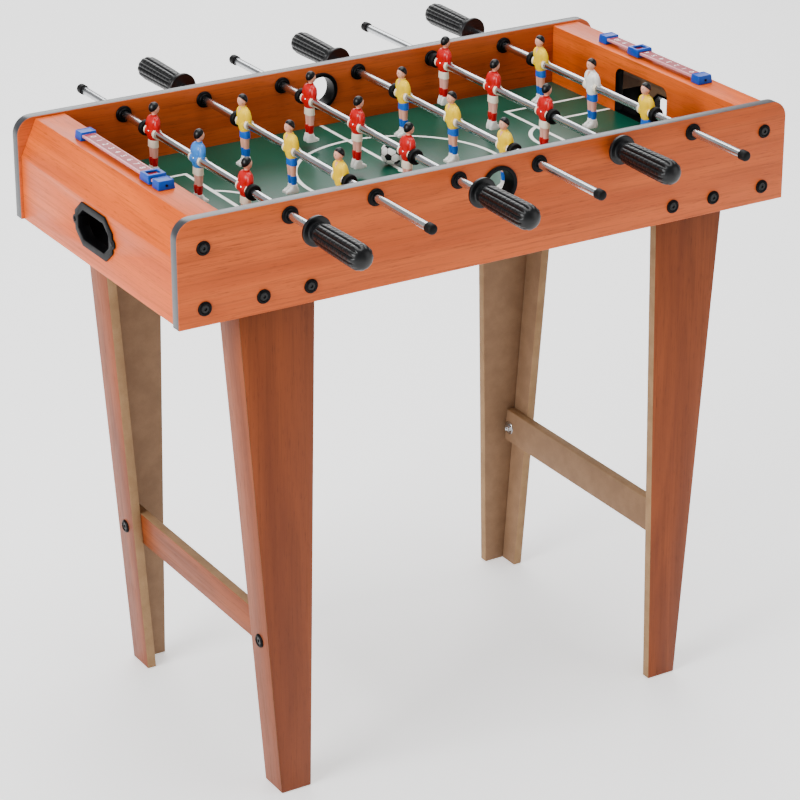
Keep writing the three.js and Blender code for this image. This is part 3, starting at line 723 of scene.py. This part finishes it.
SCORE_STEPS = 11
DIGIT_HEIGHT = 8.5
RAIL_HALF_WIDTH, LABEL_HALF_WIDTH = 7, 5.4
RAIL_LOW, RAIL_HIGH = 3.7, 6.7  # above the rail's lowest point
BLOCK_LENGTH = 14
for name, side in (("left", -1), ("right", 1)):
    low, high = span(f"{name}_scorer_rail")
    centre, half = (low + high) / 2, (high.y - low.y) / 2
    rail_low, rail_high = low.z + RAIL_LOW, low.z + RAIL_HIGH
    rail = slab((centre.x - RAIL_HALF_WIDTH, low.y + 1, rail_low),
                (centre.x + RAIL_HALF_WIDTH, high.y - 1, rail_high - 0.25), 0.5, 2)
    piece(f"{name}_score_rail", rail, "table", ["rail"], [f"{name}_scorer_rail"])
    strip = slab((centre.x - LABEL_HALF_WIDTH, low.y + BLOCK_LENGTH + 1, rail_high - 0.3),
                 (centre.x + LABEL_HALF_WIDTH, high.y - BLOCK_LENGTH - 1, rail_high - 0.1))
    piece(f"{name}_score_label", strip, "table", ["label"])
    reach = half - BLOCK_LENGTH - 10
    digits = []
    for step in range(SCORE_STEPS):
        digit = numeral(str(step), DIGIT_HEIGHT)
        y = centre.y - side * (reach - 2 * reach * step / (SCORE_STEPS - 1))
        digits.append(put(digit, (centre.x, y, rail_high - 0.06), (0, 0, side * pi / 2)))
    piece(f"{name}_score_numerals", join(*digits), "table", ["numeral"])
    blocks = []
    for end in (-1, 1):
        y0, y1 = sorted(centre.y + end * out for out in (half, half - BLOCK_LENGTH))

        def draft(sx, sy, sz, end=end):
            return (-0.7 * sx if sz > 0 else 0, -1.2 * end if sz > 0 and sy == end else 0, 0)

        block = slab((low.x, y0, low.z), (high.x, y1, high.z), 0, shear=draft)
        top = [f for f in block.faces if f.normal.z > 0.9]
        bmesh.ops.inset_region(block, faces=top, thickness=2.0, depth=-0.9)
        soften(block, 0.7, 3, 25)
        # A black disc flush with the block's end: painted shade standing in for the small hole there
        hole_shade_disc = turned([(0, -0.5), (1.3, -0.5), (1.3, 0.4), (0, 0.4)], 20)
        put(hole_shade_disc, (centre.x, centre.y + end * (half - 0.4), centre.z - 0.5))
        blocks += [(block, 0), (hole_shade_disc, 1)]
    piece(f"{name}_score_blocks", join(*blocks), "table", ["blue", "black"])

    slider = from_node(f"{name}_scorer_slider")
    at, top = middle(f"{name}_scorer_slider"), span(f"{name}_scorer_slider")[1].z
    for vert in slider.verts:  # draws the ends of the slider's top in
        if abs(vert.co.y - at.y) > 9 and vert.co.z > top - 1:
            vert.co.y = at.y + (vert.co.y - at.y) * 0.82
    soften(slider, 0.45, 2, 25)
    piece(f"{name}_score_slider", slider, f"{name}_score_marker", ["blue"],
          [f"{name}_scorer_slider"])


# ---------------------------------------------------------------- ball


BALL_RADIUS = 12


def football():
    """A ball of black five-sided and white six-sided panels with sunk seams."""
    bm = bmesh.new()
    bmesh.ops.create_icosphere(bm, subdivisions=1, radius=BALL_RADIUS)
    bmesh.ops.bevel(bm, geom=bm.verts[:], offset=100 / 3, offset_type="PERCENT", affect="VERTICES",
                    segments=1, profile=0.5, material=-1)
    for face in bm.faces:
        face.material_index = 1 if len(face.verts) == 5 else 0
    panels = bm.faces[:]
    inner = bmesh.ops.inset_individual(bm, faces=panels, thickness=0.22)["faces"]
    for face in inner:
        face.material_index = 2
    bmesh.ops.triangulate(bm, faces=[f for f in bm.faces if f.material_index < 2])
    bmesh.ops.subdivide_edges(bm, edges=bm.edges[:], cuts=4, use_grid_fill=True)
    for vert in bm.verts:
        seam = any(face.material_index == 2 for face in vert.link_faces)
        edge_only = all(face.material_index == 2 for face in vert.link_faces)
        sunk = 0.25 if edge_only else 0.08 if seam else 0
        vert.co = vert.co.normalized() * (BALL_RADIUS - sunk)
    return tidy(bm)


ball = put(football(), middle("football"), (0.5, 0.35, 0.9))
piece("match_ball", ball, "ball", ["ball_white", "ball_black", "ball_seam"],
      ["football"])


# ---------------------------------------------------------------- rods, handles, caps


GRIP_PROFILE = [  # share of the way from the flange to the tip, radius
    (0.0, 9.2), (0.07, 9.0), (0.09, 10.0), (0.115, 11.1), (0.3, 11.7), (0.6, 12.2), (0.8, 12.45),
    (0.88, 12.4), (0.91, 12.0), (0.94, 10.9), (0.962, 9.3), (0.979, 7.3), (0.991, 4.7), (1.0, 1.2)]
FLUTES, NOTCH_STEP = 12, 7.2
GRIP_RINGS = [0, 0.04, 0.07] + [0.08 + 0.0122 * i for i in range(69)] + [
    0.92, 0.935, 0.95, 0.962, 0.974, 0.984, 0.993, 1.0]
HANDLE_FLANGE = 4  # thickness
BUMPER_Y = 111


def grip(tip, flange_back, face, socket):
    """A grip along -Y: a round flange, a short neck and a ribbed, notched body with a domed end."""

    def radius_at(t):
        for (t0, r0), (t1, r1) in zip(GRIP_PROFILE, GRIP_PROFILE[1:]):
            if t <= t1:
                return r0 + (r1 - r0) * (t - t0) / (t1 - t0)
        return GRIP_PROFILE[-1][1]

    bm = bmesh.new()
    bmesh.ops.create_circle(bm, cap_ends=False, segments=FLUTES * 8, radius=1)
    edges, verts = bm.edges[:], bm.verts[:]
    length = flange_back - tip
    for number, t in enumerate(GRIP_RINGS):
        if number:
            verts, edges = extended(bm, edges)
        ribbed = max(0.0, min(1.0, (t - 0.09) / 0.04, (0.96 - t) / 0.05))
        notch = max(0.0, cos(2 * pi * (t * length - 4) / NOTCH_STEP)) ** 6
        for vert in verts:
            direction = Vector((vert.co.x, vert.co.y, 0)).normalized()
            angle = direction.to_2d().angle_signed(Vector((1, 0)), 0)
            groove = 1 - abs(cos(angle * FLUTES / 2)) ** 0.55
            cut = 1.6 * groove + 0.45 * notch * (1 - groove)
            vert.co = direction * (radius_at(t) - ribbed * cut)
            vert.co.z = t * length
    bmesh.ops.holes_fill(bm, edges=bm.edges, sides=0)
    put(tidy(bm), (0, flange_back, 0), (pi / 2, 0, 0))
    flange = turned([(socket, face), (14.2, face), (14.9, face - 0.8), (14.9, flange_back + 0.9),
                     (14.1, flange_back + 0.1), (10.2, flange_back - 0.1), (9.2, flange_back - 1.0),
                     (socket, flange_back - 1.0), (socket, face)], 64)
    screw = turned([(0, 0), (1.7, 0), (1.7, -0.4), (1.1, -0.7), (0.7, -0.4), (0, -0.4)], 20)
    put(screw, (0, flange_back - 2.2, 8.8), (-pi / 2, 0, 0))
    return join((bm, 0), (flange, 0), (screw, 1))


for n in RODS:
    turn = TEAM_TURN[n - 1]
    end = 1 if turn == 0 else -1  # which way +Y of the drawn rod points
    cap_low, cap_high = span(f"rod_{n}_end_cap")
    grip_low, grip_high = span(f"rod_{n}_handle")
    low, high = span(f"rod_{n}")
    shift = middle(f"rod_{n}_middle_keeper" if n in KEEPER_RODS else f"rod_{n}_middle_player").y

    def local(y, shift=shift, end=end):
        return (y - shift) * end

    place = ((rod_x[n - 1], shift, rod_z), (0, 0, turn))
    near_end, far_end = sorted((local(low.y), local(high.y)))
    rod = turned([(0, near_end), (ROD_RADIUS, near_end), (ROD_RADIUS, far_end), (0, far_end)],
                 40, 0.4, 2)
    piece(f"rod_{n}_tube", put(rod, *place), f"rod_{n}_assembly", ["chrome"], [f"rod_{n}"])
    bumpers = []
    for y in (-BUMPER_Y, BUMPER_Y):
        bumpers.append(turned([
            (ROD_RADIUS + 0.05, y - 3.4), (5.6, y - 3.5), (7.2, y - 3.1), (7.9, y - 2.0), (8.0, y),
            (7.9, y + 2.0), (7.2, y + 3.1), (5.6, y + 3.5), (ROD_RADIUS + 0.05, y + 3.4),
            (ROD_RADIUS + 0.05, y - 3.4)], 40))
    piece(f"rod_{n}_bumpers", put(join(*bumpers), *place), f"rod_{n}_assembly", ["rubber"])
    tip, face = sorted((local(grip_low.y), local(grip_high.y)))
    handle = grip(tip, face - HANDLE_FLANGE, face, ROD_RADIUS + 0.1)
    piece(f"rod_{n}_grip", put(handle, *place), f"rod_{n}_assembly", ["grip", "black"],
          [f"rod_{n}_handle"])
    mouth, cap_end = sorted((local(cap_low.y), local(cap_high.y)))
    wall = (cap_high.x - cap_low.x) / 2
    bore = ROD_RADIUS + 0.1
    cap = turned([(bore, mouth), (wall - 0.5, mouth), (wall, mouth + 0.5), (wall, cap_end - 3.0),
                  (wall - 0.4, cap_end - 1.7), (wall - 1.5, cap_end - 0.5), (wall - 3.0, cap_end),
                  (0, cap_end), (0, cap_end - 2.4), (bore, cap_end - 2.4), (bore, mouth)], 40)
    piece(f"rod_{n}_cap", put(cap, *place), f"rod_{n}_carriage", ["rubber"],
          [f"rod_{n}_end_cap"])


# ---------------------------------------------------------------- figures

SKIN, HAIR, SHIRT, SHORTS, KNEE, SOCK, BOOT, HAND, STEEL, LIPS = range(10)
HEAD_X, HEAD_Z = 2.4, 23.6
HUB_BORE, HUB_HALF, CUFF_END = 4.2, 7.4, 10.9
LEG_Y = 2.85


def figure():
    """A player who faces +X with the hands on the hips, the rod's axis at the origin."""
    parts = []
    shirt = tower([(-8.6, 4.0, 5.4, 0.5, 0), (-7.4, 4.6, 6.6, 0.3, 0), (-5.0, 5.3, 7.2, 0.3, 0),
                   (-1.0, 5.9, 7.4, 0.3, 0), (3.0, 5.6, 7.9, 0.6, 0), (7.0, 6.0, 8.7, 0.9, 0),
                   (10.5, 5.9, 9.2, 1.0, 0), (13.2, 5.2, 8.8, 1.1, 0), (15.2, 4.1, 6.9, 1.2, 0),
                   (16.6, 3.1, 4.5, 1.4, 0), (17.2, 2.5, 3.0, 1.6, 0)], 28, 2.3)
    parts.append((shirt, SHIRT))
    collar = turned([(2.5, 16.5), (3.3, 16.7), (3.5, 17.4), (2.7, 17.9), (2.2, 17.5), (2.5, 16.5)], 24)
    put(collar, (1.5, 0, 0), (pi / 2, 0, 0))
    parts.append((collar, SHIRT))
    neck = tower([(14.0, 2.2, 2.2, 1.4, 0), (18.0, 2.2, 2.3, 1.8, 0), (20.0, 2.5, 2.5, 2.2, 0)], 20)
    parts.append((neck, SKIN))
    notch = tower([(11.4, 0.5, 0.3, 6.3, 0), (13.4, 0.8, 1.2, 5.8, 0), (15.6, 0.9, 2.0, 4.7, 0),
                   (17.0, 0.9, 2.1, 3.5, 0)], 12)
    parts.append((notch, SKIN))
    for side in (-1, 1):
        sleeve = tower([(2.2, 2.6, 2.0, -0.2, side * 9.1), (4.0, 3.2, 2.4, 0.0, side * 9.2),
                        (8.0, 3.5, 2.7, 0.5, side * 8.8), (11.5, 3.4, 2.8, 0.9, side * 7.9),
                        (14.0, 2.8, 2.3, 1.1, side * 7.0), (15.4, 1.7, 1.5, 1.2, side * 6.2)], 18)
        parts.append((sleeve, SHIRT))
        forearm = tower([(-3.4, 1.2, 0.8, 2.6, side * 7.9), (-2.4, 2.0, 1.2, 2.5, side * 8.2),
                         (-0.6, 2.1, 1.4, 2.0, side * 8.7), (1.2, 1.8, 1.4, 1.0, side * 9.1),
                         (3.4, 1.8, 1.5, 0.2, side * 9.2)], 16)
        parts.append((forearm, HAND))
        near, far = sorted((side * HUB_HALF, side * CUFF_END))
        cuff = turned([(HUB_BORE, near), (5.0, near), (5.3, near + 0.4), (5.3, far - 0.4), (5.0, far),
                       (HUB_BORE, far), (HUB_BORE, near)], 32)
        parts.append((cuff, HAND))
    hub = turned([(HUB_BORE, -HUB_HALF), (5.7, -HUB_HALF), (5.7, HUB_HALF), (HUB_BORE, HUB_HALF),
                  (HUB_BORE, -HUB_HALF)], 32)
    parts.append((hub, SHIRT))
    screw = turned([(0, 0), (1.6, 0), (1.6, 0.3), (1.1, 0.7), (0.7, 0.5), (0, 0.5)], 16)
    parts.append((put(screw, (-4.9, 0, 1.5), (0, 0, pi / 2)), STEEL))
    shorts = tower([(-15.6, 3.9, 6.4, 0.0, 0), (-15.2, 4.5, 7.1, 0.0, 0), (-11.5, 4.4, 6.9, 0.0, 0),
                    (-8.2, 4.3, 6.7, 0.1, 0), (-7.0, 4.0, 6.3, 0.1, 0)], 28, 2.4)
    parts.append((shorts, SHORTS))
    for side in (-1, 1):
        y = side * LEG_Y
        leg = tower([(-27.6, 2.6, 2.45, 0.0, y), (-25.0, 2.8, 2.6, 0.2, y), (-20.0, 3.1, 2.8, 0.3, y),
                     (-16.0, 3.4, 2.95, 0.2, y), (-13.0, 3.6, 3.0, 0.1, y)], 20, 2.3)
        parts.append((leg, KNEE))
        sock = tower([(-37.5, 2.6, 2.3, -0.3, y), (-33.5, 2.7, 2.4, -0.3, y),
                      (-30.5, 3.2, 2.75, -0.4, y), (-28.0, 3.2, 2.85, -0.2, y),
                      (-26.8, 3.3, 2.95, 0.0, y), (-26.4, 3.0, 2.7, 0.0, y)], 20, 2.3)
        parts.append((sock, SOCK))
        boot = tower([(-44.4, 5.9, 2.5, 0.9, y), (-43.9, 6.5, 2.72, 1.0, y),
                      (-42.0, 6.7, 2.76, 1.1, y), (-40.6, 6.2, 2.7, 0.8, y),
                      (-39.4, 4.6, 2.65, -0.4, y), (-37.6, 3.5, 2.65, -0.7, y),
                      (-35.6, 3.2, 2.62, -0.5, y), (-35.2, 2.9, 2.4, -0.4, y)], 24, 2.8)
        parts.append((boot, BOOT))
        for toe in (-1, 1):
            toe_y = y + toe * 1.25
            cap = slab((6.6, toe_y - 0.75, -44.3), (8.5, toe_y + 0.75, -41.6), 0.35, 2)
            parts.append((cap, BOOT))
    bridge = slab((-3.6, -0.9, -44.2), (5.6, 0.9, -38.5), 0.4, 2)
    parts.append((bridge, BOOT))
    return parts


def head():
    """A plain round doll's head with cap-like hair."""
    parts = []
    skull = ball_shape(1, (HEAD_X, 0, HEAD_Z), (4.9, 4.5, 5.8), 28, 18)
    for vert in skull.verts:
        drop = HEAD_Z - 1 - vert.co.z
        if drop > 0:
            vert.co.y *= 1 - 0.035 * drop
            vert.co.x += 0.1 * drop
    parts.append((skull, SKIN))
    hair = ball_shape(1, (HEAD_X - 0.45, 0, HEAD_Z + 0.7), (5.4, 5.1, 6.1), 28, 18)
    bmesh.ops.bisect_plane(hair, geom=hair.verts[:] + hair.edges[:] + hair.faces[:], dist=1e-4,
                           plane_co=(HEAD_X - 0.4, 0, HEAD_Z + 0.9), plane_no=(0.62, 0, -0.78),
                           clear_outer=True)
    bmesh.ops.holes_fill(hair, edges=hair.edges, sides=0)
    tidy(hair)
    soften(hair, 0.35, 2, 40)
    parts.append((hair, HAIR))
    nose = ball_shape(0.75, (HEAD_X + 4.85, 0, HEAD_Z - 0.6), (0.9, 0.7, 1.1), 12, 8)
    parts.append((nose, SKIN))
    mouth = ball_shape(0.7, (HEAD_X + 4.45, 0, HEAD_Z - 2.7), (0.4, 1.2, 0.32), 12, 8)
    parts.append((mouth, LIPS))
    for side in (-1, 1):
        eye = ball_shape(0.5, (HEAD_X + 4.4, side * 1.6, HEAD_Z + 0.45), (0.5, 0.9, 1.0), 10, 8)
        parts.append((eye, HAIR))
        brow = ball_shape(0.55, (HEAD_X + 4.3, side * 1.7, HEAD_Z + 1.75), (0.5, 1.5, 0.35), 10, 6)
        parts.append((brow, HAIR))
        ear = ball_shape(0.9, (HEAD_X - 0.3, side * 4.5, HEAD_Z - 0.6), (0.8, 0.5, 1.3), 12, 8)
        parts.append((ear, SKIN))
    return parts


KITS = {  # finishes in the order of the part numbers above
    "red": ["skin", "hair", "red", "cream", "pink", "red", "white", "cream", "chrome", "lips"],
    "yellow": ["skin", "hair", "yellow", "team_blue", "skin", "team_blue", "white", "cream", "chrome",
               "lips"],
    "light_blue": ["skin", "hair", "sky", "cream", "pink", "red", "white", "cream", "chrome", "lips"],
    "white": ["skin", "hair", "white", "team_blue", "pink", "team_blue", "white", "cream", "chrome",
              "lips"],
}
player = join(*figure(), *head())
player_mesh = bpy.data.meshes.new("player")
player.to_mesh(player_mesh)
player.free()
for n in RODS:
    for where in ("far", "middle", "near"):
        keeper = where == "middle" and n in KEEPER_RODS
        node = f"rod_{n}_{where}_{'keeper' if keeper else 'player'}"
        kit = "red" if n % 2 else "yellow"
        if keeper:
            kit = "light_blue" if n == KEEPER_RODS[0] else "white"
        at = middle(node)
        copy = bmesh.new()
        copy.from_mesh(player_mesh)
        put(copy, (rod_x[n - 1], at.y, rod_z), (0, 0, TEAM_TURN[n - 1]))
        role = "goalkeeper" if keeper else "figure"
        piece(f"rod_{n}_{where}_{role}", copy, f"rod_{n}_assembly", KITS[kit], [node])
bpy.data.meshes.remove(player_mesh)


# ---------------------------------------------------------------- floor, light and camera


FLOOR_SIZE, FLOOR_DROP = 30, 0.0005  # metres
CAMERA_PLACE = (-1.4446, -2.3779, 1.5429)  # metres
LOOKS_DOWN, LOOKS_RIGHT = 21.94, 31.23  # the camera's tilt and its turn from facing +Y, in degrees
WORLD_LIGHT = 0.4


def floor():
    """A pale floor that glows a little, so that it stays light under the table."""
    f = Finish("studio_floor")
    specks = f.noise(f.place(), 400, 3)
    tone = f.mix(specks, (0.9, 0.9, 0.9, 1), (0.93, 0.93, 0.93, 1))
    FINISH["floor"] = f.surface(Base_Color=tone, Roughness=0.85, Specular_IOR_Level=0.1,
                                Emission_Color=tone, Emission_Strength=0.7)
    bm = bmesh.new()
    bmesh.ops.create_grid(bm, x_segments=2, y_segments=2, size=FLOOR_SIZE)
    mesh = bpy.data.meshes.new("studio_floor")
    bm.to_mesh(mesh)
    bm.free()
    mesh.materials.append(FINISH["floor"])
    obj = bpy.data.objects.new("studio_floor", mesh)
    obj.location = (0, 0, -FLOOR_DROP)
    bpy.context.scene.collection.objects.link(obj)


def area_light(name, at, aim, size, power):
    lamp = bpy.data.lights.new(name, "AREA")
    lamp.shape, lamp.size, lamp.energy = "SQUARE", size, power
    obj = bpy.data.objects.new(name, lamp)
    obj.location = at
    obj.rotation_euler = (Vector(aim) - Vector(at)).to_track_quat("-Z", "Y").to_euler()
    bpy.context.scene.collection.objects.link(obj)


floor()
area_light("key_light", at=(-3.6, -0.6, 2.1), aim=(0, 0, 0.4), size=2.0, power=190)
area_light("top_light", at=(0.2, 0.2, 3.2), aim=(0, 0, 0.5), size=2.4, power=105)
area_light("fill_light", at=(1.6, -1.8, 1.0), aim=(0, 0, 0.35), size=1.3, power=9)
area_light("back_light", at=(1.3, 3.1, 2.4), aim=(0, 0, 0.6), size=2.6, power=90)

world = bpy.data.worlds.new("studio")
bpy.context.scene.world = world
world.use_nodes = True
world.node_tree.nodes["Background"].inputs["Color"].default_value = (1, 1, 1, 1)
world.node_tree.nodes["Background"].inputs["Strength"].default_value = WORLD_LIGHT

camera = bpy.data.cameras.new("camera")
camera.lens, camera.sensor_width = 131.7, 36
camera.shift_x, camera.shift_y = 0, -0.125
camera_obj = bpy.data.objects.new("camera", camera)
camera_obj.location = CAMERA_PLACE
camera_obj.rotation_euler = (radians(90 - LOOKS_DOWN), 0, radians(-LOOKS_RIGHT))
bpy.context.scene.collection.objects.link(camera_obj)
bpy.context.scene.camera = camera_obj
